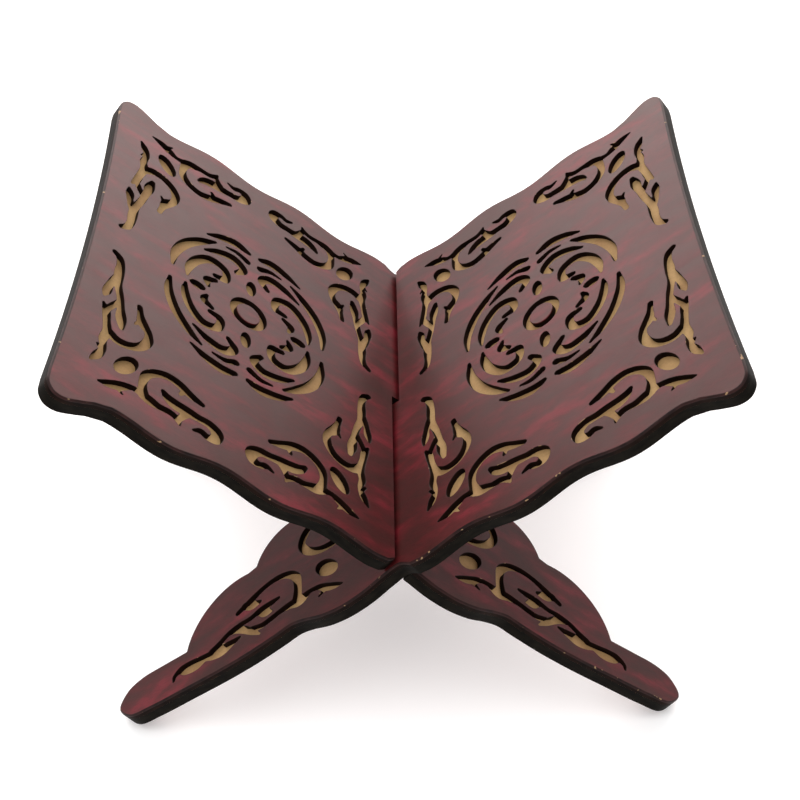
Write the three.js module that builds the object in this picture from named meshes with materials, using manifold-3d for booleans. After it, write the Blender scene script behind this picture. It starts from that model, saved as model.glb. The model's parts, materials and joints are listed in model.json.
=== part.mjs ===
// A folding book rest: two identical leaves of laminated board that slot into each other as an X.
// Each leaf is a plain backing board with a pierced fretwork panel glued on its front.
// Millimetres, +Z up, +Y away from the reader, origin on the ground under the crossing.
import * as THREE from "three";
import { mergeVertices } from "three/addons/utils/BufferGeometryUtils.js";
import Module from "manifold-3d";

const wasm = await Module();
wasm.setup();

// ---- Driving dimensions ----
const PANEL_THICKNESS = 2.5; // pierced fretwork panel
const BACKING_THICKNESS = 4.8; // plain board behind it
const GLUE_LINE = 0.1;
const LEAF_THICKNESS = PANEL_THICKNESS + GLUE_LINE + BACKING_THICKNESS;

const LEAF_TILT = THREE.MathUtils.degToRad(37.74); // slope of each leaf above the ground when open
const SLOT_CLEARANCE = 0.15; // on each side of the other leaf
const SLOT_RUN_PAST = 0.3; // how far a slot is cut beyond the middle of the leaf
const SLIDE_APART = 1.2; // how far each leaf stands from its fully pushed-home place

// Along the leaf, "up" is measured from the fold line, where the two front faces meet.
const SEAT_EDGE = 156; // middle of the seat's outer edge
const SEAT_EDGE_HOLLOW = 2.7; // how much further out that edge is near its corners
const SEAT_CORNER_RUN = 96; // half width at which the corner rounding starts
const FOOT_REACH = 158.5; // fold line to the tip of a foot
const FOOT_INNER_HALF_GAP = 82.3;
const SIDE_MEAN = 102.9; // half width of the seat, halfway between crest and trough
const SIDE_WAVE = 1.9;
const SIDE_WAVE_PITCH = 49;
const SIDE_WAVE_CREST = 9.5;
const SIDE_WAVE_END = 132;
const LOBE_STEP = Math.PI / 10; // arc step on the round lobes of the arch

const MOTIF_MIDDLE = 80; // the seat's ornament is mirrored about this height and about the centre line
const OVAL_STEPS = 10;
const RING_STEPS = 18;
const CUT_MARGIN = 1; // how far a cutter stands out of the panel on each side

const foldOffset = (LEAF_THICKNESS / 2) * Math.tan(LEAF_TILT);
const slotWidth = LEAF_THICKNESS / Math.tan(LEAF_TILT) + 2 * SLOT_CLEARANCE;
const crossingHeight =
  (FOOT_REACH - foldOffset) * Math.sin(LEAF_TILT) + (LEAF_THICKNESS / 2) * Math.cos(LEAF_TILT);

// ---- Materials ----
const mahoganyFoil = new THREE.MeshStandardMaterial({ color: 0x5a1a22, roughness: 0.35, metalness: 0 });
const rawBoard = new THREE.MeshStandardMaterial({ color: 0xc3a06c, roughness: 0.85, metalness: 0 });

// ---- Outline of a leaf, as [half width, up] on one side of its centre line ----
function splinePoints(points, stepsPerSpan) {
  const curve = new THREE.SplineCurve(points.map(([across, up]) => new THREE.Vector2(across, up)));
  return curve.getPoints(stepsPerSpan * (points.length - 1)).map((p) => [p.x, p.y]);
}

function arcPoints(across, up, radius, from, to) {
  const steps = Math.ceil(Math.abs(to - from) / LOBE_STEP);
  return Array.from({ length: steps + 1 }, (_, i) => {
    const angle = from + ((to - from) * i) / steps;
    return [across + radius * Math.cos(angle), up + radius * Math.sin(angle)];
  });
}

function seatOuterEdge() {
  const points = [];
  for (let across = 0; across < SEAT_CORNER_RUN; across += 24)
    points.push([across, SEAT_EDGE + SEAT_EDGE_HOLLOW * (across / SEAT_CORNER_RUN) ** 2]);
  return points;
}

function seatSide() {
  const points = [];
  for (let up = SIDE_WAVE_END; up >= SIDE_WAVE_CREST; up -= SIDE_WAVE_PITCH / 8) {
    const phase = (2 * Math.PI * (up - SIDE_WAVE_CREST)) / SIDE_WAVE_PITCH;
    points.push([SIDE_MEAN + SIDE_WAVE * Math.cos(phase), up]);
  }
  return points;
}

const seatCorner = [[96, 158.7], [103.2, 158.2], [107.4, 155.2], [108.2, 150.6], [105.6, 144], [102.6, 138.2]];
const waistToFoot = [
  [104.2, 5], [101.2, -0.5], [102.8, -9], [105.7, -19], [106.9, -30], [105.7, -41], [102.5, -51],
  [101.3, -57.5], [102.5, -66], [104.2, -82], [104.7, -98], [104.3, -118], [103.7, -138], [102, -151],
  [94, -158.5], [86, -154.3], [82.8, -146], [FOOT_INNER_HALF_GAP, -134],
];
const footLobe = arcPoints(86, -88.4, 31, Math.PI * 1.462, Math.PI * 0.965);
const middleLobe = arcPoints(59.5, -59, 22, Math.PI * 1.42, Math.PI * 0.98);
const archCrown = arcPoints(0, -79.7, 43.5, Math.PI * 0.163, Math.PI * 0.5);

function leafShape() {
  const half = [
    ...seatOuterEdge(),
    ...splinePoints(seatCorner, 2),
    ...seatSide(),
    ...splinePoints(waistToFoot, 2),
    ...footLobe,
    ...middleLobe,
    ...archCrown,
  ];
  const otherHalf = half
    .slice(1, -1)
    .reverse()
    .map(([across, up]) => [-across, up]);
  const points = [...half, ...otherHalf].map(([across, up]) => new THREE.Vector2(up + foldOffset, across));
  return new THREE.Shape(points);
}

// ---- Ornament: brush strokes as [across, up, half width] ----
function strokeShape(stations) {
  const curve = new THREE.CatmullRomCurve3(stations.map((s) => new THREE.Vector3(...s)), false, "centripetal");
  const steps = stations.length + 1;
  const left = [];
  const right = [];
  for (let i = 0; i <= steps; i++) {
    const at = curve.getPoint(i / steps);
    const ahead = curve.getPoint(Math.min(1, (i + 0.5) / steps));
    const behind = curve.getPoint(Math.max(0, (i - 0.5) / steps));
    const along = new THREE.Vector2(ahead.x - behind.x, ahead.y - behind.y).normalize();
    if (i === 0) left.push(new THREE.Vector2(at.x - along.x * at.z, at.y - along.y * at.z));
    left.push(new THREE.Vector2(at.x - along.y * at.z, at.y + along.x * at.z));
    right.push(new THREE.Vector2(at.x + along.y * at.z, at.y - along.x * at.z));
    if (i === steps) right.push(new THREE.Vector2(at.x + along.x * at.z, at.y + along.y * at.z));
  }
  return [...left, ...right.reverse()];
}

function ovalShape(across, up, halfLength, halfWidth, tiltDegrees) {
  const tilt = THREE.MathUtils.degToRad(tiltDegrees);
  const curve = new THREE.EllipseCurve(across, up, halfLength, halfWidth, 0, 2 * Math.PI, false, tilt);
  return curve.getPoints(OVAL_STEPS).slice(0, -1);
}

// A seat corner, with "up" counted from the middle of the seat towards its outer edge.
const seatCornerStrokes = [
  // long vine beside the outer edge, with its upper leaf
  [[9.6, 64.8, 1.3], [11.8, 62.2, 1.7], [16, 61.1, 1.9], [22, 61, 2.3], [29, 60.4, 1.8], [36, 58.4, 1.7],
   [43, 57, 1.7], [48.5, 56.2, 2.5], [54, 55.2, 1.2]],
  [[23, 61.6, 0.8], [28, 62.8, 1.6], [32, 63.8, 1.6], [36.4, 64.4, 2.0], [40, 65.2, 0.6]],
  // crescent that opens towards the centre line, with its barb
  [[35.6, 49.4, 1.3], [40, 48.4, 1.5], [44.4, 47, 2.5], [48.4, 43.8, 1.8], [53.6, 43.2, 2.2], [59, 46, 2.1],
   [62, 50.8, 2.1], [62.4, 56, 2.3], [60, 60, 2.3]],
  [[43.6, 48, 1.2], [47.4, 50, 0.5]],
  // tip that runs into the corner, with a spur back to the vine
  [[80.4, 64.6, 0.6], [76.4, 62.4, 1.9], [71.6, 60.6, 1.3], [66, 61.6, 1.8], [60.6, 60.6, 2.0],
   [54, 61.8, 1.7], [48.6, 62.8, 1.8], [44.6, 64.6, 0.6]],
  [[47.4, 62.6, 1.4], [43.4, 60.6, 1.4], [39.4, 58.4, 1.2]],
  [[72.6, 61, 1.2], [70, 63.4, 0.5]],
  // arm beside the side edge: leaf with its barb, junction and the ring's outer side
  [[90, 59.8, 0.5], [88.6, 55, 2.0], [86.4, 50.6, 2.2], [84.4, 46.6, 1.4], [84.6, 42.6, 1.8],
   [86, 38.6, 2.6], [86.8, 33.6, 1.7], [86.8, 28.6, 1.6], [88.6, 25.4, 1.4], [90.8, 24.4, 0.5]],
  [[88, 52.4, 1.2], [90.6, 49.4, 0.4]],
  // the ring's inner side, which ends in a barbed point
  [[85, 41, 2.5], [79, 42.2, 1.8], [73.4, 41.4, 2.1], [69.2, 37.4, 2.0], [67.4, 32, 2.1], [68.4, 27, 2.3],
   [70.8, 22.4, 2.2], [73, 16, 1.2]],
  [[70.6, 24.2, 1.4], [73.6, 26, 0.8]],
  // vine inside the ring, which ends in a hook, and its strap to the arm
  [[77.2, 33.2, 1.1], [79.4, 31, 2.2], [81, 27, 3.0], [81.2, 21.6, 2.6], [81.6, 16.4, 2.1],
   [82, 11.6, 2.4], [84.8, 8, 2.9], [88.4, 8.6, 2.4], [89.4, 12, 1.7], [88.2, 15, 1.5], [89.6, 18.4, 0.6]],
  [[81.4, 21, 2.0], [85, 23.4, 1.5], [88.8, 25.6, 1.3]],
];
const seatCornerOval = [73.8, 50.2, 7, 3.8, 33];

// A leg's side, with "up" counted from the fold line.
const legStrokes = [
  [[11, -20.5, 1.2], [13, -23.6, 1.6], [20, -24.4, 2.2], [29, -25.4, 1.9], [38, -28.2, 1.7],
   [44, -30.4, 1.8], [49, -31, 2.4], [54.6, -32.4, 1.1]],
  [[23, -23.8, 0.8], [30, -22.4, 1.6], [36.4, -21, 2.0], [41, -19.8, 0.6]],
  [[44, -46, 1.3], [48, -48.6, 1.6], [51.6, -51.6, 2.4], [57.6, -53.4, 2.0], [63, -50, 2.1],
   [66.4, -44.4, 2.1], [67.4, -38, 2.1], [66, -31.5, 2.1], [62.4, -26.4, 2.3]],
  [[84.6, -18.6, 0.6], [80, -22, 1.9], [75.4, -24.2, 1.3], [69.6, -23.6, 1.8], [63, -25, 2.0],
   [56, -23.8, 1.7], [49, -22, 1.7], [44.4, -20.2, 0.6]],
  [[48, -22, 1.4], [44, -24.6, 1.3], [40.4, -27.4, 1.2]],
  // arm beside the leg's edge and the ring's outer side
  [[94, -29.8, 0.5], [93, -34, 1.7], [91.2, -38.4, 2.0], [88.8, -42.6, 1.4], [88.4, -47.6, 1.4],
   [90.4, -52.6, 2.8], [89.8, -58, 2.2], [90.2, -63.6, 1.6], [91.6, -69, 1.6], [92.4, -74.6, 1.6],
   [91.2, -80, 1.5]],
  [[92, -39, 1.3], [94.2, -42.2, 0.5]],
  // the ring's inner side, with its barb
  [[89, -54.6, 2.6], [82, -54.4, 2.1], [75.4, -55.6, 2.2], [71, -60.4, 1.9], [69.4, -67.4, 1.6],
   [70.8, -75, 1.6], [73.8, -81.6, 2.0], [77, -88.8, 1.5]],
  [[75, -85.4, 1.8], [77.2, -80.6, 2.3], [77.6, -76, 0.9]],
  // vine inside the ring, its leaf, and its strap to the edge
  [[81.8, -65.2, 0.9], [82.4, -70, 1.7], [83, -75.6, 1.8], [84.6, -81.4, 1.4], [84.8, -87.4, 1.4],
   [86.4, -93.6, 1.6], [89.4, -99, 1.7], [91.4, -103, 2.0]],
  [[84, -76, 1.4], [86, -72.4, 2.2], [87, -69, 0.7]],
  [[96.4, -75, 0.5], [93, -79.4, 1.5], [89.4, -83.8, 1.9], [87.2, -88, 1.7], [86.4, -92, 1.2]],
  // tail towards the foot
  [[92, -86.6, 0.8], [92.8, -91, 1.9], [93.8, -96.4, 3.2], [93.6, -101.4, 2.8], [92.6, -106.4, 2.2],
   [93.4, -111.4, 3.4], [92.8, -117, 3.4], [91.8, -121.4, 2.0], [93.8, -124.6, 1.3], [96.2, -124.8, 0.7]],
];
const legOval = [79.9, -38.5, 7.2, 4.2, 51];

// The medallion in the middle of the seat: scrolls around a round boss, mirrored both ways.
const medallionStrokes = [
  [[5, 39, 0.9], [14, 38.6, 2.2], [24.6, 34, 2.6], [33, 26.4, 2.0], [37.4, 20.4, 0.7]],
  [[40, 25, 0.6], [43.6, 17.6, 2.1], [45.4, 9.4, 2.6], [43.8, 3.2, 1.3]],
  [[3, 31.5, 0.7], [9, 31.2, 2.0], [17, 27.8, 2.4], [22.8, 20.8, 2.4], [20.8, 13.8, 2.1], [14.4, 13.2, 2.0],
   [13.2, 18.4, 1.3]],
  [[27.6, 25, 0.7], [31.8, 17.4, 2.1], [33, 9.6, 2.5], [28.8, 4.8, 2.1], [24.2, 8.2, 1.3]],
  [[36.8, 3.4, 1.7], [39, 8.8, 1.3], [38.6, 14.6, 0.6]],
  [[3.4, 20.8, 0.8], [7.2, 22, 1.9], [10, 17.8, 1.2]],
];
const medallionOvals = [
  [0, 26, 4, 2.4, 90], [0, -26, 4, 2.4, 90], [18.6, 0, 5, 2.6, 0], [-18.6, 0, 5, 2.6, 0],
];
const BOSS_RADIUS = 6;
const BOSS_RING_OUTER = 9.5;

function reflect([across, up, ...rest], acrossSign, upSign, middle) {
  return [acrossSign * across, middle + upSign * up, ...rest];
}

function ornamentCutters() {
  const strokes = [];
  const ovals = [];
  for (const side of [-1, 1]) {
    for (const end of [-1, 1]) {
      for (const stroke of [...seatCornerStrokes, ...medallionStrokes])
        strokes.push(stroke.map((s) => reflect(s, side, end, MOTIF_MIDDLE)));
      const [across, up, length, width, tilt] = seatCornerOval;
      ovals.push([side * across, MOTIF_MIDDLE + end * up, length, width, side * end * tilt]);
    }
    for (const stroke of legStrokes) strokes.push(stroke.map((s) => reflect(s, side, 1, 0)));
    const [across, up, length, width, tilt] = legOval;
    ovals.push([side * across, up, length, width, side * tilt]);
  }
  for (const [across, up, ...rest] of medallionOvals) ovals.push([across, MOTIF_MIDDLE + up, ...rest]);
  return [...strokes.map(strokeShape), ...ovals.map((oval) => ovalShape(...oval))].map((points) =>
    cutter(points.map((p) => new THREE.Vector2(p.y + foldOffset, p.x))),
  );
}

// ---- Solids ----
function slab(shape, bottom, top) {
  const geometry = new THREE.ExtrudeGeometry(shape, { depth: top - bottom, bevelEnabled: false });
  geometry.translate(0, 0, bottom);
  return solidFrom(geometry);
}

function solidFrom(geometry) {
  geometry.deleteAttribute("normal");
  geometry.deleteAttribute("uv");
  const merged = mergeVertices(geometry, 1e-4);
  return new wasm.Manifold(
    new wasm.Mesh({
      numProp: 3,
      vertProperties: merged.attributes.position.array,
      triVerts: new Uint32Array(merged.index.array),
    }),
  );
}

function meshFrom(solid, name, material) {
  const { vertProperties, triVerts } = solid.getMesh();
  const geometry = new THREE.BufferGeometry();
  geometry.setAttribute("position", new THREE.BufferAttribute(new Float32Array(vertProperties), 3));
  geometry.setIndex(new THREE.BufferAttribute(new Uint32Array(triVerts), 1));
  geometry.computeVertexNormals();
  const mesh = new THREE.Mesh(geometry, material);
  mesh.name = name;
  return mesh;
}

const panelTop = LEAF_THICKNESS / 2;
const panelBottom = panelTop - PANEL_THICKNESS;
const backingTop = panelBottom - GLUE_LINE;
const backingBottom = -LEAF_THICKNESS / 2;

const cutter = (points) => slab(new THREE.Shape(points), panelBottom - CUT_MARGIN, panelTop + CUT_MARGIN);

// The slot runs from the middle of the leaf out through its far edge.
function slotCutter() {
  const run = SIDE_MEAN + SIDE_WAVE_PITCH;
  const box = new THREE.BoxGeometry(slotWidth, run, 2 * LEAF_THICKNESS);
  box.translate(0, run / 2 - SLOT_RUN_PAST, 0);
  return solidFrom(box);
}

function roundCutter(radius) {
  const circle = new THREE.EllipseCurve(MOTIF_MIDDLE + foldOffset, 0, radius, radius, 0, 2 * Math.PI, false, 0);
  return cutter(circle.getPoints(RING_STEPS).slice(0, -1));
}

function leafSolids() {
  const slot = slotCutter();
  const backing = slab(leafShape(), backingBottom, backingTop).subtract(slot);
  const blank = slab(leafShape(), panelBottom, panelTop).subtract(slot);
  let panel = blank.subtract(roundCutter(BOSS_RING_OUTER));
  for (const cut of ornamentCutters()) panel = panel.subtract(cut);
  return { panel, backing, boss: blank.intersect(roundCutter(BOSS_RADIUS)) };
}

// ---- Assembly ----
function leaf(side, turn) {
  const tilted = new THREE.Group();
  tilted.position.set(0, -SLIDE_APART, crossingHeight);
  tilted.rotation.y = -LEAF_TILT;
  tilted.add(
    meshFrom(panel, side + "_fretwork_panel", mahoganyFoil.clone()),
    meshFrom(backing, side + "_backing_board", rawBoard.clone()),
    meshFrom(boss, side + "_medallion_boss", mahoganyFoil.clone()),
  );
  const turned = new THREE.Group();
  turned.rotation.z = turn;
  turned.add(tilted);
  return turned;
}

const { panel, backing, boss } = leafSolids();
const bookRest = new THREE.Group();
bookRest.add(leaf("right_leaf", 0), leaf("left_leaf", Math.PI));

export default bookRest;
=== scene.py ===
# Looks of a folding book rest: two slotted leaves, each a pierced and foiled panel on a plain board.
# Shapes are worked out in millimetres in a leaf's own frame: X along the leaf from the crossing,
# Y across it, Z out of its front face. place() then puts each piece in the object's frame, in metres.
import json
import math

import bpy
import numpy as np
from mathutils import Matrix, Vector
from mathutils.geometry import delaunay_2d_cdt


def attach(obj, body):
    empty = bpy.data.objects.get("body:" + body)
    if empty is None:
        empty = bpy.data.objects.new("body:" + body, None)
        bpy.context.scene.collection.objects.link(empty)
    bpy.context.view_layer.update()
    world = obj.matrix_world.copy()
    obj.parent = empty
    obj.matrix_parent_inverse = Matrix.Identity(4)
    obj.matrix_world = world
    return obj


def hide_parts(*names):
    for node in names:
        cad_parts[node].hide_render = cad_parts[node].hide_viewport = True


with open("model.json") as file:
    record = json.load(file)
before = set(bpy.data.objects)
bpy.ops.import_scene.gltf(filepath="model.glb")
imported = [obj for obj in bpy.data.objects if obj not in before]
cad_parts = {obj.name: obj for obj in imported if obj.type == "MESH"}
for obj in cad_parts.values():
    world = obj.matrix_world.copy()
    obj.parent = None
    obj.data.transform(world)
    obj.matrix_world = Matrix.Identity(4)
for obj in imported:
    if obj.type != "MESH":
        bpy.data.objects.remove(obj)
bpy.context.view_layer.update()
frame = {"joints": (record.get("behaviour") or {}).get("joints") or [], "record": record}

MM = 0.001

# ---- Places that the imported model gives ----
JOINT = next(j for j in frame["joints"] if j["name"] == "leaf_swing")
SEAT = next(m for m in frame["record"]["mounts"] if m["name"] == "right_seat_face")
CROSSING = Vector((0, SEAT["pos_m"][1], JOINT["pos_m"][2]))
TILT = math.acos(SEAT["axis"][2])

# ---- Sizes, in millimetres ----
PANEL = 2.5
BACKING = 4.8
GLUE_LINE = 0.1  # pressed shut here, so that the edge shows no gap
LAYER_GAP = 0.005  # keeps the faces of the two boards apart
THICKNESS = PANEL + GLUE_LINE + BACKING
PANEL_TOP = THICKNESS / 2
BACKING_TOP = PANEL_TOP - PANEL - GLUE_LINE
PANEL_BOTTOM = BACKING_TOP + LAYER_GAP
BACKING_BOTTOM = -THICKNESS / 2
FOLD = THICKNESS / 2 * math.tan(TILT)  # from the crossing to the line where the front faces meet
SLOT_CLEARANCE = 0.3  # both sides of the slot together
SLOT_WIDTH = THICKNESS / math.tan(TILT) + SLOT_CLEARANCE
SLOT_RUN_PAST = 0.3  # how far the slot goes past the leaf's middle line
MOTIF_MIDDLE = 80  # the seat ornament's middle, up from the fold line
BOSS_RADIUS = 6
BOSS_RING_OUTER = 9.5
BOSS_MARGIN = 1  # the panel is cleared this far round the boss

OUTER_ARRIS = 0.85  # worn round-over of the outer edge
CUT_ARRIS = 0.16  # at the fretwork cuts
ARRIS_STEPS = (0.12, 0.4, 1.0)  # depths of the lines along a round-over, as shares of its radius
FLAT_WITHIN = 0.004  # a triangle this close to the top counts as the flat face
LEAST_RISE = 0.05  # the least upward part of a round-over's normal
CREASE = math.radians(38)  # edges sharper than this stay sharp

STEP = 0.25  # spacing of the grid that the outlines are worked out on
GRID_LOW, GRID_HIGH, GRID_HALF = -163, 166, 112  # the grid ends a few millimetres past the outline
PAD = 3.0  # how far from an edge the distance fields are kept
TIGHT = 0.012  # how closely the outlines keep to the grid's contour
LONGEST_RUN = 60  # the most grid points between two points that an outline keeps
SHORTEST_LOOP = 8  # loops with no more grid points than this are specks, and are dropped
SPAN_POINTS = 8  # points on each span of a smooth line
LOBE_POINTS = 40  # points on each lobe of the arch

# ---- Outline of a leaf, across from its middle line and up from the fold line ----
SEAT_EDGE = 156  # the seat's outer edge, at the middle line
SEAT_EDGE_HOLLOW = 2.7  # how much further out that edge is at its ends
SEAT_EDGE_HALF = 96
SEAT_EDGE_STEP = 2.0  # spacing of the points on that edge
SIDE_TOP = 132
SIDE_MEAN = 102.9  # the half width that the side waves about
SIDE_WAVE = 1.9
SIDE_WAVELENGTH = 49
SIDE_CREST = 9.5  # the lowest crest of the waved side, where it ends
seat_corner = [[96, 158.7], [103.2, 158.2], [107.4, 155.2], [108.2, 150.6], [105.6, 144], [102.6, 138.2]]
waist_to_foot = [
    [104.2, 5], [101.2, -0.5], [102.8, -9], [105.7, -19], [106.9, -30], [105.7, -41], [102.5, -51],
    [101.3, -57.5], [102.5, -66], [104.2, -82], [104.7, -98], [104.3, -118], [103.7, -138], [102, -151],
    [94, -158.5], [86, -154.3], [82.8, -146], [82.3, -134],
]
# the arch's lobes, as [across, up, radius, first angle, last angle], the angles in half turns
lobes = [[86, -88.4, 31, 1.462, 0.965], [59.5, -59, 22, 1.42, 0.98], [0, -79.7, 43.5, 0.163, 0.5]]

# ---- Ornament: brush strokes as [across, up, half width] ----
seat_corner_strokes = [
    # long vine beside the outer edge, with its upper leaf
    [[9.6, 64.8, 1.3], [11.8, 62.2, 1.7], [16, 61.1, 1.9], [22, 61, 2.3], [29, 60.4, 1.8], [36, 58.4, 1.7],
     [43, 57, 1.7], [48.5, 56.2, 2.5], [54, 55.2, 1.2]],
    [[23, 61.6, 0.8], [28, 62.8, 1.6], [32, 63.8, 1.6], [36.4, 64.4, 2.0], [40, 65.2, 0.6]],
    # crescent that opens towards the centre line, with its barb
    [[35.6, 49.4, 1.3], [40, 48.4, 1.5], [44.4, 47, 2.5], [48.4, 43.8, 1.8], [53.6, 43.2, 2.2], [59, 46, 2.1],
     [62, 50.8, 2.1], [62.4, 56, 2.3], [60, 60, 2.3]],
    [[43.6, 48, 1.2], [47.4, 50, 0.5]],
    # tip that runs into the corner, with a spur back to the vine
    [[80.4, 64.6, 0.6], [76.4, 62.4, 1.9], [71.6, 60.6, 1.3], [66, 61.6, 1.8], [60.6, 60.6, 2.0],
     [54, 61.8, 1.7], [48.6, 62.8, 1.8], [44.6, 64.6, 0.6]],
    [[47.4, 62.6, 1.4], [43.4, 60.6, 1.4], [39.4, 58.4, 1.2]],
    [[72.6, 61, 1.2], [70, 63.4, 0.5]],
    # arm beside the side edge: leaf with its barb, junction and the ring's outer side
    [[90, 59.8, 0.5], [88.6, 55, 2.0], [86.4, 50.6, 2.2], [84.4, 46.6, 1.4], [84.6, 42.6, 1.8],
     [86, 38.6, 2.6], [86.8, 33.6, 1.7], [86.8, 28.6, 1.6], [88.6, 25.4, 1.4], [90.8, 24.4, 0.5]],
    [[88, 52.4, 1.2], [90.6, 49.4, 0.4]],
    # the ring's inner side, which ends in a barbed point
    [[85, 41, 2.5], [79, 42.2, 1.8], [73.4, 41.4, 2.1], [69.2, 37.4, 2.0], [67.4, 32, 2.1], [68.4, 27, 2.3],
     [70.8, 22.4, 2.2], [73, 16, 1.2]],
    [[70.6, 24.2, 1.4], [73.6, 26, 0.8]],
    # vine inside the ring, which ends in a hook, and its strap to the arm
    [[77.2, 33.2, 1.1], [79.4, 31, 2.2], [81, 27, 3.0], [81.2, 21.6, 2.6], [81.6, 16.4, 2.1],
     [82, 11.6, 2.4], [84.8, 8, 2.9], [88.4, 8.6, 2.4], [89.4, 12, 1.7], [88.2, 15, 1.5], [89.6, 18.4, 0.6]],
    [[81.4, 21, 2.0], [85, 23.4, 1.5], [88.8, 25.6, 1.3]],
]
# ovals, as [across, up, half length, half width, turn in degrees]
seat_corner_oval = [73.8, 50.2, 7, 3.8, 33]
leg_strokes = [
    [[11, -20.5, 1.2], [13, -23.6, 1.6], [20, -24.4, 2.2], [29, -25.4, 1.9], [38, -28.2, 1.7],
     [44, -30.4, 1.8], [49, -31, 2.4], [54.6, -32.4, 1.1]],
    [[23, -23.8, 0.8], [30, -22.4, 1.6], [36.4, -21, 2.0], [41, -19.8, 0.6]],
    [[44, -46, 1.3], [48, -48.6, 1.6], [51.6, -51.6, 2.4], [57.6, -53.4, 2.0], [63, -50, 2.1],
     [66.4, -44.4, 2.1], [67.4, -38, 2.1], [66, -31.5, 2.1], [62.4, -26.4, 2.3]],
    [[84.6, -18.6, 0.6], [80, -22, 1.9], [75.4, -24.2, 1.3], [69.6, -23.6, 1.8], [63, -25, 2.0],
     [56, -23.8, 1.7], [49, -22, 1.7], [44.4, -20.2, 0.6]],
    [[48, -22, 1.4], [44, -24.6, 1.3], [40.4, -27.4, 1.2]],
    # arm beside the leg's edge and the ring's outer side
    [[94, -29.8, 0.5], [93, -34, 1.7], [91.2, -38.4, 2.0], [88.8, -42.6, 1.4], [88.4, -47.6, 1.4],
     [90.4, -52.6, 2.8], [89.8, -58, 2.2], [90.2, -63.6, 1.6], [91.6, -69, 1.6], [92.4, -74.6, 1.6],
     [91.2, -80, 1.5]],
    [[92, -39, 1.3], [94.2, -42.2, 0.5]],
    # the ring's inner side, with its barb
    [[89, -54.6, 2.6], [82, -54.4, 2.1], [75.4, -55.6, 2.2], [71, -60.4, 1.9], [69.4, -67.4, 1.6],
     [70.8, -75, 1.6], [73.8, -81.6, 2.0], [77, -88.8, 1.5]],
    [[75, -85.4, 1.8], [77.2, -80.6, 2.3], [77.6, -76, 0.9]],
    # vine inside the ring, its leaf, and its strap to the edge
    [[81.8, -65.2, 0.9], [82.4, -70, 1.7], [83, -75.6, 1.8], [84.6, -81.4, 1.4], [84.8, -87.4, 1.4],
     [86.4, -93.6, 1.6], [89.4, -99, 1.7], [91.4, -103, 2.0]],
    [[84, -76, 1.4], [86, -72.4, 2.2], [87, -69, 0.7]],
    [[96.4, -75, 0.5], [93, -79.4, 1.5], [89.4, -83.8, 1.9], [87.2, -88, 1.7], [86.4, -92, 1.2]],
    # tail towards the foot
    [[92, -86.6, 0.8], [92.8, -91, 1.9], [93.8, -96.4, 3.2], [93.6, -101.4, 2.8], [92.6, -106.4, 2.2],
     [93.4, -111.4, 3.4], [92.8, -117, 3.4], [91.8, -121.4, 2.0], [93.8, -124.6, 1.3], [96.2, -124.8, 0.7]],
]
leg_oval = [79.9, -38.5, 7.2, 4.2, 51]
medallion_strokes = [
    [[5, 39, 0.9], [14, 38.6, 2.2], [24.6, 34, 2.6], [33, 26.4, 2.0], [37.4, 20.4, 0.7]],
    [[40, 25, 0.6], [43.6, 17.6, 2.1], [45.4, 9.4, 2.6], [43.8, 3.2, 1.3]],
    [[3, 31.5, 0.7], [9, 31.2, 2.0], [17, 27.8, 2.4], [22.8, 20.8, 2.4], [20.8, 13.8, 2.1], [14.4, 13.2, 2.0],
     [13.2, 18.4, 1.3]],
    [[27.6, 25, 0.7], [31.8, 17.4, 2.1], [33, 9.6, 2.5], [28.8, 4.8, 2.1], [24.2, 8.2, 1.3]],
    [[36.8, 3.4, 1.7], [39, 8.8, 1.3], [38.6, 14.6, 0.6]],
    [[3.4, 20.8, 0.8], [7.2, 22, 1.9], [10, 17.8, 1.2]],
]
medallion_ovals = [[0, 26, 4, 2.4, 90], [0, -26, 4, 2.4, 90], [18.6, 0, 5, 2.6, 0]]


def smooth(points, per_span):
    """A centripetal Catmull-Rom line through the points."""
    p = np.array(points, float)
    p = np.vstack([2 * p[0] - p[1], p, 2 * p[-1] - p[-2]])
    out = []
    for i in range(1, len(p) - 2):
        knots = [0.0]
        for a, b in zip(p[i - 1 : i + 2], p[i : i + 3]):
            knots.append(knots[-1] + max(1e-6, np.linalg.norm(b - a)) ** 0.5)
        t0, t1, t2, t3 = knots
        t = np.linspace(t1, t2, per_span, endpoint=False)[:, None]
        a1 = (t1 - t) / (t1 - t0) * p[i - 1] + (t - t0) / (t1 - t0) * p[i]
        a2 = (t2 - t) / (t2 - t1) * p[i] + (t - t1) / (t2 - t1) * p[i + 1]
        a3 = (t3 - t) / (t3 - t2) * p[i + 1] + (t - t2) / (t3 - t2) * p[i + 2]
        b1 = (t2 - t) / (t2 - t0) * a1 + (t - t0) / (t2 - t0) * a2
        b2 = (t3 - t) / (t3 - t1) * a2 + (t - t1) / (t3 - t1) * a3
        out.append((t2 - t) / (t2 - t1) * b1 + (t - t1) / (t2 - t1) * b2)
    out.append(p[-2][None])
    return np.vstack(out)


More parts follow.
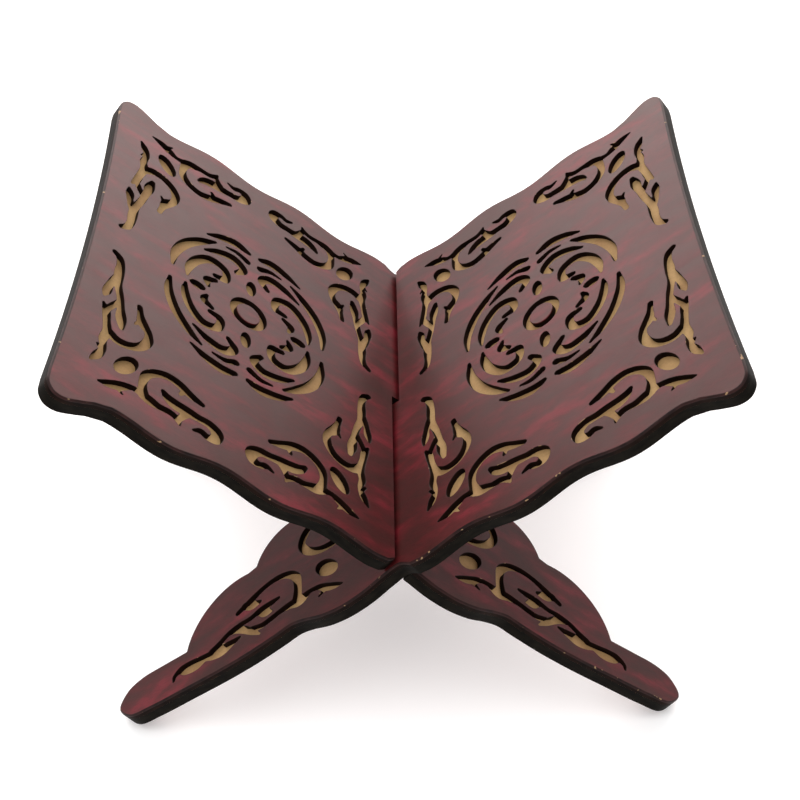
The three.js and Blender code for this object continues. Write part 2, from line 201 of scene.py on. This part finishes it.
def outline():
    """The leaf's outline on one side, from the seat's outer edge down to the arch's crown."""
    across = np.arange(0, SEAT_EDGE_HALF, SEAT_EDGE_STEP)
    seat_edge = np.stack([across, SEAT_EDGE + SEAT_EDGE_HOLLOW * (across / SEAT_EDGE_HALF) ** 2], 1)
    up = np.arange(SIDE_TOP, SIDE_CREST - 1e-6, -1.0)
    wave = np.cos(2 * math.pi * (up - SIDE_CREST) / SIDE_WAVELENGTH)
    side = np.stack([SIDE_MEAN + SIDE_WAVE * wave, up], 1)
    parts = [seat_edge, smooth(seat_corner, SPAN_POINTS)[:-1], side, smooth(waist_to_foot, SPAN_POINTS)[:-1]]
    for x, y, r, start, end in lobes:
        angle = np.linspace(start, end, LOBE_POINTS) * math.pi
        parts.append(np.stack([x + r * np.cos(angle), y + r * np.sin(angle)], 1))
    return np.vstack(parts)


# ---- Distance fields on a grid: rows run up the leaf, columns across its positive half ----
ups = np.arange(GRID_LOW, GRID_HIGH + STEP / 2, STEP)
acrosses = np.arange(0, GRID_HALF + STEP / 2, STEP)
across_all = np.concatenate([-acrosses[:0:-1], acrosses])


def window(points, reach):
    """The rows and columns within reach of some points, and the grid coordinates there."""
    low, high = points.min(0) - reach, points.max(0) + reach
    rows = slice(*np.clip(np.searchsorted(ups, [low[1], high[1]]), 0, len(ups)))
    cols = slice(*np.clip(np.searchsorted(acrosses, [low[0], high[0]]), 0, len(acrosses)))
    return rows, cols, acrosses[cols][None, :], ups[rows][:, None]


def brush(field, stations):
    """Lowers field to the distance from a line whose half width changes from station to station."""
    for a, b in zip(stations[:-1], stations[1:]):
        rows, cols, x, y = window(np.array([a[:2], b[:2]]), PAD + max(a[2], b[2]))
        if not field[rows, cols].size:
            continue
        dx, dy = b[0] - a[0], b[1] - a[1]
        t = np.clip(((x - a[0]) * dx + (y - a[1]) * dy) / max(dx * dx + dy * dy, 1e-12), 0, 1)
        away = np.hypot(x - a[0] - t * dx, y - a[1] - t * dy) - (a[2] + t * (b[2] - a[2]))
        np.minimum(field[rows, cols], away, out=field[rows, cols])


def oval(field, across, up, half_length, half_width, degrees):
    """Lowers field to about the distance from an oval."""
    rows, cols, x, y = window(np.array([[across, up]]), half_length + PAD)
    c, s = math.cos(math.radians(degrees)), math.sin(math.radians(degrees))
    along, aside = (x - across) * c + (y - up) * s, (y - up) * c - (x - across) * s
    near = np.hypot(along / half_length, aside / half_width)
    slope = np.maximum(np.hypot(along / half_length**2, aside / half_width**2), 1e-6)
    np.minimum(field[rows, cols], near * (near - 1) / slope, out=field[rows, cols])


def cut_field():
    """Distance to the fretwork cuts, negative inside a cut."""
    field = np.full((len(ups), len(acrosses)), PAD)

    def draw(strokes, middle, sign):
        for stroke in strokes:
            brush(field, smooth([[x, middle + sign * y, w] for x, y, w in stroke], SPAN_POINTS))

    for sign in (1, -1):
        draw(seat_corner_strokes + medallion_strokes, MOTIF_MIDDLE, sign)
        x, y, length, width, turn = seat_corner_oval
        oval(field, x, MOTIF_MIDDLE + sign * y, length, width, sign * turn)
    draw(leg_strokes, 0, 1)
    oval(field, *leg_oval)
    for x, y, *rest in medallion_ovals:
        oval(field, x, MOTIF_MIDDLE + y, *rest)
    rows, cols, x, y = window(np.array([[0, MOTIF_MIDDLE]]), BOSS_RING_OUTER + PAD)
    middle = np.hypot(x, y - MOTIF_MIDDLE) - (BOSS_RADIUS + BOSS_RING_OUTER) / 2
    ring = np.abs(middle) - (BOSS_RING_OUTER - BOSS_RADIUS) / 2
    np.minimum(field[rows, cols], ring, out=field[rows, cols])
    return field


def edge_field():
    """Distance to the outline, negative inside the leaf."""
    line = outline()
    field = np.full((len(ups), len(acrosses)), PAD)
    brush(field, np.hstack([line, np.zeros((len(line), 1))]))
    crossings = np.zeros((len(ups), len(acrosses) + 1), int)
    for (x0, y0), (x1, y1) in zip(line[:-1], line[1:]):
        for row in range(*np.searchsorted(ups, sorted((y0, y1)))):
            x = x0 + (x1 - x0) * (ups[row] - y0) / (y1 - y0)
            crossings[row, : np.searchsorted(acrosses, x)] += 1
    return np.where(crossings[:, :-1] % 2 == 1, -field, field)


def both_sides(half):
    """A field over the whole leaf, from its positive half."""
    return np.hstack([half[:, :0:-1], half])


def rounded(field):
    """Takes the sharpness off the corners where strokes meet, as a cutting beam does."""
    for _ in range(2):
        for axis in (0, 1):
            field = (np.roll(field, 1, axis) + 2 * field + np.roll(field, -1, axis)) / 4
    return field


edge = rounded(both_sides(edge_field()))
cuts = rounded(both_sides(cut_field()))
beside_slot = np.abs(ups[:, None] + FOLD) - SLOT_WIDTH / 2
past_slot = -SLOT_RUN_PAST - across_all[None, :]
slot = np.where((beside_slot < 0) & (past_slot < 0), np.maximum(beside_slot, past_slot),
                np.hypot(np.maximum(beside_slot, 0), np.maximum(past_slot, 0)))
slot = np.clip(slot, -PAD, PAD)


def contour(field, level):
    """The closed lines where field crosses level, as [across, up], with the lower side on their left."""
    f = field - level
    f[f == 0] = 1e-9
    low = f < 0
    rows, cols = f.shape
    case = (low[:-1, :-1] * 1 + low[:-1, 1:] * 2 + low[1:, 1:] * 4 + low[1:, :-1] * 8).ravel()
    cell = np.arange((rows - 1) * (cols - 1))
    r, c = cell // (cols - 1), cell % (cols - 1)
    upright = rows * cols  # the sides of the cells are numbered, the level ones before the upright ones
    sides = [r * cols + c, upright + r * cols + c + 1, (r + 1) * cols + c, upright + r * cols + c]
    # which sides of a cell the line enters and leaves by, in each case: 0 bottom, 1 right, 2 top, 3 left
    ways = {1: [(0, 3)], 2: [(1, 0)], 4: [(2, 1)], 8: [(3, 2)], 3: [(1, 3)], 6: [(2, 0)], 12: [(3, 1)],
            9: [(0, 2)], 7: [(2, 3)], 11: [(1, 2)], 13: [(0, 1)], 14: [(3, 0)], 5: [(0, 3), (2, 1)],
            10: [(1, 0), (3, 2)]}
    follow = {}
    for number, pairs in ways.items():
        where = np.nonzero(case == number)[0]
        for start, end in pairs:
            follow.update(zip(sides[start][where].tolist(), sides[end][where].tolist()))
    loops = []
    while follow:
        first, at = follow.popitem()
        chain = [first]
        while at != first:
            chain.append(at)
            at = follow.pop(at)
        e = np.array(chain)
        tall = e >= upright
        e = e - tall * upright
        r0, c0 = e // cols, e % cols
        r1, c1 = r0 + tall, c0 + ~tall
        t = f[r0, c0] / (f[r0, c0] - f[r1, c1])
        loops.append(np.stack([across_all[c0] + t * (across_all[c1] - across_all[c0]),
                               ups[r0] + t * (ups[r1] - ups[r0])], 1))
    return [thinned(loop) for loop in loops if len(loop) > SHORTEST_LOOP]


def thinned(loop):
    """The points of a closed line that it needs to keep within TIGHT of itself."""
    n = len(loop)
    far = int(np.argmax(((loop - loop[0]) ** 2).sum(1)))
    keep = {0, far}
    closed = np.vstack([loop, loop[:1]])
    stack = [(0, far), (far, n)]
    while stack:
        a, b = stack.pop()
        if b - a < 2:
            continue
        p, d = closed[a + 1 : b] - closed[a], closed[b] - closed[a]
        off = np.abs(p[:, 0] * d[1] - p[:, 1] * d[0]) / max(np.hypot(*d), 1e-9)
        worst = int(np.argmax(off))
        if off[worst] > TIGHT or b - a > LONGEST_RUN:
            keep.add(a + 1 + worst)
            stack += [(a, a + 1 + worst), (a + 1 + worst, b)]
    return loop[sorted(k for k in keep if k < n)]


def sampled(field, points):
    """The field's value at some points, by bilinear reading."""
    x = np.clip((points[:, 0] - across_all[0]) / STEP, 0, len(across_all) - 1.001)
    y = np.clip((points[:, 1] - ups[0]) / STEP, 0, len(ups) - 1.001)
    c, r = x.astype(int), y.astype(int)
    u, v = x - c, y - r
    return ((field[r, c] * (1 - u) + field[r, c + 1] * u) * (1 - v)
            + (field[r + 1, c] * (1 - u) + field[r + 1, c + 1] * u) * v)


def turns_left(loop):
    """Whether a closed line runs anticlockwise."""
    after = np.roll(loop, -1, 0)
    return (loop[:, 0] * after[:, 1] - after[:, 0] * loop[:, 1]).sum() > 0


def plate(bounds, guides):
    """Points, triangles and rim edges of the area inside the nested closed lines in bounds.

    The lines in guides become edges too. Triangles and rim edges go anticlockwise round the material."""
    points, edges, faces = [], [], []
    for loops, as_faces in ((bounds, True), (guides, False)):
        for loop in loops:
            start = len(points)
            points += [Vector(p) for p in loop]
            ring = list(range(start, len(points)))
            edges += list(zip(ring, ring[1:] + ring[:1]))
            if as_faces:  # a face's points go anticlockwise
                faces.append(ring if turns_left(loop) else ring[::-1])
    flat, _, tris, _, _, from_faces = delaunay_2d_cdt(points, edges, faces, 0, 1e-5, True)
    tris = np.array([t for t, over in zip(tris, from_faces) if len(over) % 2 == 1])
    used, tris = np.unique(tris, return_inverse=True)
    tris = tris.reshape(-1, 3)
    flat = np.array([[flat[i].x, flat[i].y] for i in used])
    sides = {(t[i], t[(i + 1) % 3]) for t in tris.tolist() for i in range(3)}
    rim = sorted(side for side in sides if side[::-1] not in sides)
    return flat, tris.tolist(), rim


FACE, ARRIS, WALL, UNDER = range(4)  # material slots of every piece


def place(name, shape, materials, body, turned):
    """A piece from its points in the leaf's frame, in millimetres, put where its leaf stands."""
    verts, faces, slots, normals = shape
    mesh = bpy.data.meshes.new(name)
    mesh.from_pydata((verts * MM).tolist(), [], faces)
    for m in materials:
        mesh.materials.append(m)
    mesh.polygons.foreach_set("material_index", slots)
    mesh.polygons.foreach_set("use_smooth", [True] * len(mesh.polygons))
    mesh.update()
    mesh.set_sharp_from_angle(angle=CREASE)
    of_corner = np.zeros(len(mesh.loops), int)
    mesh.loops.foreach_get("vertex_index", of_corner)
    slot_of_corner = np.repeat(slots, [len(f) for f in faces])
    given = np.where((slot_of_corner <= ARRIS)[:, None], normals[of_corner], 0.0)
    mesh.normals_split_custom_set(given.tolist())
    piece = bpy.data.objects.new(name, mesh)
    bpy.context.scene.collection.objects.link(piece)
    turn = Matrix.Rotation(math.pi if turned else 0, 4, "Z")
    piece.matrix_world = turn @ Matrix.Translation(CROSSING) @ Matrix.Rotation(-TILT, 4, "Y")
    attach(piece, body)
    return piece


def board(bounds, guides, arrises, top, bottom):
    """A plate between two heights: its points, faces, slots and the upper points' normals.

    Each arris is a distance field, positive inside, and the radius of the round-over there."""
    flat, tris, rim = plate(bounds, guides)
    n = len(flat)
    height, lean = np.full(n, float(top)), np.zeros((n, 2))
    for field, radius in arrises:
        left = np.clip(radius - sampled(field, flat), 0, radius) / radius
        height -= radius * (1 - np.sqrt(1 - left**2))
        slope = np.stack([sampled(g, flat) for g in np.gradient(field, STEP)], 1)
        slope /= np.maximum(np.hypot(*slope.T), 1e-6)[:, None]
        lean -= slope * left[:, None]
    rise = np.sqrt(np.clip(1 - (lean**2).sum(1), LEAST_RISE**2, 1))
    z = np.concatenate([height, np.full(n, float(bottom))])
    verts = np.stack([np.tile(flat[:, 1], 2) + FOLD, np.tile(flat[:, 0], 2), z], 1)
    normals = np.vstack([np.column_stack([lean, rise]), np.zeros((n, 3))])
    faces, slots = [], []
    for a, b, c in tris:
        faces += [(a, c, b), (a + n, b + n, c + n)]
        slots += [FACE if min(height[a], height[b], height[c]) > top - FLAT_WITHIN else ARRIS, UNDER]
    for a, b in rim:
        faces.append((a, b, b + n, a + n))
        slots.append(WALL)
    return verts, faces, slots, normals


def eased(field, radius):
    """The lines that a round-over needs, at growing depths inside a field that is positive inside."""
    return [loop for share in ARRIS_STEPS for loop in contour(-field, -radius * share)]


# ---- Materials ----
# A scale is in features per metre along the leaf, across it and through it.
# Shades are [place on the ramp, colour].
BLOTCH_SCALE = (26, 80, 80)
PATCH_SCALE = (80, 180, 180)
PORE_SCALE = (350, 1900, 1900)
BLOTCH_SHARE = 0.6
PATCH_SHARE = 0.4
MAHOGANY = [
    (0.38, (0.036, 0.0078, 0.0066)), (0.48, (0.047, 0.0070, 0.0070)), (0.56, (0.068, 0.0070, 0.0084)),
    (0.66, (0.125, 0.0088, 0.015)),
]
PORE_SHADES = [(0.36, (0.62, 0.62, 0.62)), (0.5, (1.0, 1.0, 1.0))]
PORE_SHARE = 0.5
FOIL_ROUGHNESS = (0.30, 0.40)
FOIL_SPECULAR = 0.16
FOIL_TINT = (1.0, 0.8, 0.78, 1)
SCORCH_SCALE = (160, 160, 500)
SCORCH_PLACES = (0.35, 0.7)
KNOCK_SCALE = (240, 240, 420)
KNOCK_START, KNOCK_FULL = 0.72, 0.75  # the noise, less the chips, where raw board starts and is full
KNOCKED_BOARD = (0.30, 0.19, 0.10)
FIBRE_SCALE = (900, 900, 900)
CLOUD_SCALE = (60, 60, 60)
BOARD_SHADES = [(0.35, (0.33, 0.19, 0.080)), (0.65, (0.42, 0.265, 0.115))]
FIBRE_SHADES = [(0.3, (0.78, 0.78, 0.78)), (0.6, (1.0, 1.0, 1.0))]
FIBRE_SHARE = 0.7


def material(name):
    """A new material with its nodes, its links and its shader."""
    m = bpy.data.materials.new(name)
    m.use_nodes = True
    return m, m.node_tree.nodes, m.node_tree.links, m.node_tree.nodes["Principled BSDF"]


def noise(nodes, links, coordinate, offset, scale, detail, distortion=0.0):
    """A noise whose scale is given per axis, in features per metre."""
    spread = nodes.new("ShaderNodeMapping")
    spread.inputs["Location"].default_value = offset
    spread.inputs["Scale"].default_value = scale
    links.new(coordinate, spread.inputs["Vector"])
    made = nodes.new("ShaderNodeTexNoise")
    made.inputs["Scale"].default_value = 1.0
    made.inputs["Detail"].default_value = detail
    made.inputs["Distortion"].default_value = distortion
    links.new(spread.outputs["Vector"], made.inputs["Vector"])
    return made.outputs["Fac"]


def ramp(nodes, links, value, stops):
    """The colour that the stops give for a value."""
    made = nodes.new("ShaderNodeValToRGB")
    while len(made.color_ramp.elements) < len(stops):
        made.color_ramp.elements.new(0.5)
    for element, (at, colour) in zip(made.color_ramp.elements, stops):
        element.position = at
        element.color = (*colour, 1)
    links.new(value, made.inputs["Fac"])
    return made.outputs["Color"]


def math_node(nodes, links, operation, a, b):
    """An operation on two values, each a number or another node's output."""
    made = nodes.new("ShaderNodeMath")
    made.operation = operation
    for socket, value in zip(made.inputs, (a, b)):
        if isinstance(value, (int, float)):
            socket.default_value = value
        else:
            links.new(value, socket)
    return made.outputs["Value"]


def mixed(nodes, links, factor, a, b, blend="MIX"):
    """Two colours mixed, each a tuple or another node's output."""
    made = nodes.new("ShaderNodeMix")
    made.data_type = "RGBA"
    made.blend_type = blend
    for socket, value in zip((made.inputs["Factor"], made.inputs["A"], made.inputs["B"]), (factor, a, b)):
        if isinstance(value, (int, float)):
            socket.default_value = value
        elif isinstance(value, tuple):
            socket.default_value = (*value, 1)
        else:
            links.new(value, socket)
    return made.outputs["Result"]


def set_gloss(shader, roughness, specular):
    """A shader's roughness and how strongly it reflects."""
    shader.inputs["Roughness"].default_value = roughness
    shader.inputs["Specular IOR Level"].default_value = specular


def bumped(nodes, links, shader, height, strength, distance):
    """Roughens a shader's surface by height. Distance is in metres."""
    made = nodes.new("ShaderNodeBump")
    made.inputs["Strength"].default_value = strength
    made.inputs["Distance"].default_value = distance
    links.new(height, made.inputs["Height"])
    links.new(made.outputs["Normal"], shader.inputs["Normal"])


def foil(name, offset):
    """Printed mahogany foil: soft crimson blotches drawn out along the leaf, and short pores."""
    m, nodes, links, shader = material(name)
    where = nodes.new("ShaderNodeTexCoord").outputs["Object"]
    broad = noise(nodes, links, where, offset, BLOTCH_SCALE, detail=2, distortion=0.5)
    patch = noise(nodes, links, where, offset, PATCH_SCALE, detail=3, distortion=0.35)
    fine = noise(nodes, links, where, offset, PORE_SCALE, detail=2)
    level = math_node(nodes, links, "ADD", math_node(nodes, links, "MULTIPLY", broad, BLOTCH_SHARE),
                      math_node(nodes, links, "MULTIPLY", patch, PATCH_SHARE))
    colour = ramp(nodes, links, level, MAHOGANY)
    pores = ramp(nodes, links, fine, PORE_SHADES)
    links.new(mixed(nodes, links, PORE_SHARE, colour, pores, "MULTIPLY"), shader.inputs["Base Color"])
    rough = nodes.new("ShaderNodeMapRange")
    rough.inputs["To Min"].default_value, rough.inputs["To Max"].default_value = FOIL_ROUGHNESS
    links.new(patch, rough.inputs["Value"])
    links.new(rough.outputs["Result"], shader.inputs["Roughness"])
    shader.inputs["Specular IOR Level"].default_value = FOIL_SPECULAR
    shader.inputs["Specular Tint"].default_value = FOIL_TINT
    grain = math_node(nodes, links, "ADD", fine, patch)
    bumped(nodes, links, shader, grain, strength=0.2, distance=0.00006)
    return m


def dark_edge(name, offset, low, high, roughness, specular, chips=0.0):
    """Scorched or painted board. The higher chips is, the more raw board shows in small knocks."""
    m, nodes, links, shader = material(name)
    where = nodes.new("ShaderNodeTexCoord").outputs["Object"]
    patch = noise(nodes, links, where, offset, SCORCH_SCALE, detail=4)
    colour = ramp(nodes, links, patch, list(zip(SCORCH_PLACES, (low, high))))
    if chips:
        knock = noise(nodes, links, where, offset, KNOCK_SCALE, detail=2)
        bare = ramp(nodes, links, knock, [
            (KNOCK_START - chips, (0.0, 0.0, 0.0)), (KNOCK_FULL - chips, (1.0, 1.0, 1.0))])
        colour = mixed(nodes, links, bare, colour, KNOCKED_BOARD)
    links.new(colour, shader.inputs["Base Color"])
    set_gloss(shader, roughness, specular)
    bumped(nodes, links, shader, patch, strength=0.5, distance=0.0002)
    return m


def raw_board(name, offset):
    """Fibreboard with its fibres and a faint cloudiness."""
    m, nodes, links, shader = material(name)
    where = nodes.new("ShaderNodeTexCoord").outputs["Object"]
    fibre = noise(nodes, links, where, offset, FIBRE_SCALE, detail=5)
    cloud = noise(nodes, links, where, offset, CLOUD_SCALE, detail=3)
    colour = ramp(nodes, links, cloud, BOARD_SHADES)
    fibres = ramp(nodes, links, fibre, FIBRE_SHADES)
    links.new(mixed(nodes, links, FIBRE_SHARE, colour, fibres, "MULTIPLY"), shader.inputs["Base Color"])
    set_gloss(shader, roughness=0.85, specular=0.3)
    bumped(nodes, links, shader, fibre, strength=0.4, distance=0.0001)
    return m


painted = dark_edge("painted_edge", (0, 0, 0), low=(0.0042, 0.0036, 0.0028), high=(0.0095, 0.0078, 0.0055),
                    roughness=0.55, specular=0.03)
worn = dark_edge("worn_arris", (1, 2, 3), low=(0.010, 0.0045, 0.004), high=(0.034, 0.011, 0.010),
                 roughness=0.45, specular=0.12, chips=0.035)
charred = dark_edge("charred_cut", (4, 1, 2), low=(0.004, 0.0018, 0.0012), high=(0.013, 0.005, 0.003),
                    roughness=0.6, specular=0.05)
raw = raw_board("raw_board", (0, 0, 0))


# ---- Pieces ----
def disc(radius):
    """Distance to the edge of a round boss in the medallion, positive inside."""
    return np.clip(radius - np.hypot(across_all[None, :], ups[:, None] - MOTIF_MIDDLE), -PAD, PAD)


backing_solid = np.minimum(-edge, slot)
panel_solid = np.minimum(np.minimum(backing_solid, cuts), -disc(BOSS_RADIUS + BOSS_MARGIN))
boss_solid = disc(BOSS_RADIUS)
boss_arris = 2 * CUT_ARRIS

panel_shape = board(
    contour(-panel_solid, 0), eased(-edge, OUTER_ARRIS) + eased(cuts, CUT_ARRIS),
    [(-edge, OUTER_ARRIS), (cuts, CUT_ARRIS)], PANEL_TOP, PANEL_BOTTOM)
backing_shape = board(contour(-backing_solid, 0), [], [], BACKING_TOP, BACKING_BOTTOM)
boss_shape = board(contour(-boss_solid, 0), eased(boss_solid, boss_arris), [(boss_solid, boss_arris)],
                   PANEL_TOP, PANEL_BOTTOM)

# each piece's materials are for its slots FACE, ARRIS, WALL and UNDER, in that order
for side, turned, seed in (("right", False, (0.0, 0.0, 0.0)), ("left", True, (3.7, 1.3, 5.1))):
    body = side + "_leaf"
    front = foil(side + "_foil", seed)
    panel = place(side + "_pierced_panel", panel_shape, [front, worn, charred, raw], body, turned)
    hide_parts(body + "_fretwork_panel")
    back = place(side + "_back_board", backing_shape, [raw, raw, painted, front], body, turned)
    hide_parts(body + "_backing_board")
    boss = place(side + "_boss", boss_shape, [front, front, charred, raw], body, turned)
    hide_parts(body + "_medallion_boss")

# ---- Studio, in metres ----
FLOOR_REACH = 6
FLOOR_GLOW = 0.2  # as on a table lit from below
SKY_STRENGTH = 1.1
SKY_SHADES = [
    (0.0, (0.16, 0.16, 0.16)), (0.12, (0.28, 0.28, 0.28)), (0.5, (0.85, 0.85, 0.85)), (1.0, (1.0, 1.0, 1.0)),
]
WHITE = (1.0, 1.0, 1.0)
PALE = (0.9, 0.9, 0.9)
WARM = (1.0, 0.87, 0.84)
CAMERA_PLACE = (-0.0034, -0.5127, 0.5283)
CAMERA_TURN = (50.329, 0.378, -0.917)  # in degrees
CAMERA_LENS = 65.99  # in millimetres
SENSOR_WIDTH = 36  # in millimetres

floor_mesh = bpy.data.meshes.new("floor")
floor_mesh.from_pydata(
    [(-FLOOR_REACH, -FLOOR_REACH, 0), (FLOOR_REACH, -FLOOR_REACH, 0), (FLOOR_REACH, FLOOR_REACH, 0),
     (-FLOOR_REACH, FLOOR_REACH, 0)], [], [(0, 1, 2, 3)])
floor = bpy.data.objects.new("floor", floor_mesh)
bpy.context.scene.collection.objects.link(floor)
floor_material, _, _, floor_shader = material("pale_floor")
floor_shader.inputs["Base Color"].default_value = (*PALE, 1)
set_gloss(floor_shader, roughness=0.9, specular=0.1)
floor_shader.inputs["Emission Color"].default_value = (*WHITE, 1)
floor_shader.inputs["Emission Strength"].default_value = FLOOR_GLOW
floor_mesh.materials.append(floor_material)

world = bpy.data.worlds.new("studio")
bpy.context.scene.world = world
world.use_nodes = True
sky_nodes, sky_links = world.node_tree.nodes, world.node_tree.links
upward = sky_nodes.new("ShaderNodeSeparateXYZ")
sky_links.new(sky_nodes.new("ShaderNodeTexCoord").outputs["Generated"], upward.inputs["Vector"])
sky = ramp(sky_nodes, sky_links, upward.outputs["Z"], SKY_SHADES)
seen = sky_nodes.new("ShaderNodeLightPath").outputs["Is Camera Ray"]
backdrop = mixed(sky_nodes, sky_links, seen, sky, WHITE)  # the backdrop itself looks white
sky_links.new(backdrop, sky_nodes["Background"].inputs["Color"])
sky_nodes["Background"].inputs["Strength"].default_value = SKY_STRENGTH


def soft_light(name, location, target, width, height, power, colour):
    """A panel of light that faces a target."""
    data = bpy.data.lights.new(name, "AREA")
    data.shape = "RECTANGLE"
    data.size, data.size_y = width, height
    data.energy = power
    data.color = colour
    lamp = bpy.data.objects.new(name, data)
    bpy.context.scene.collection.objects.link(lamp)
    lamp.location = location
    lamp.rotation_mode = "QUATERNION"
    lamp.rotation_quaternion = (Vector(target) - Vector(location)).to_track_quat("-Z", "Y")


soft_light("key", location=(-0.5, -0.5, 1.6), target=(0, 0, 0.1), width=1.2, height=1.2, power=9,
           colour=WHITE)
soft_light("back_panel", location=(0, 1.7, 0.9), target=(0, 0, 0.2), width=3.0, height=0.8, power=52,
           colour=WARM)

camera_data = bpy.data.cameras.new("camera")
camera_data.lens = CAMERA_LENS
camera_data.sensor_width = SENSOR_WIDTH
camera = bpy.data.objects.new("camera", camera_data)
bpy.context.scene.collection.objects.link(camera)
camera.location = CAMERA_PLACE
camera.rotation_euler = tuple(math.radians(a) for a in CAMERA_TURN)
bpy.context.scene.camera = camera
bpy.context.scene.view_settings.view_transform = "Standard"
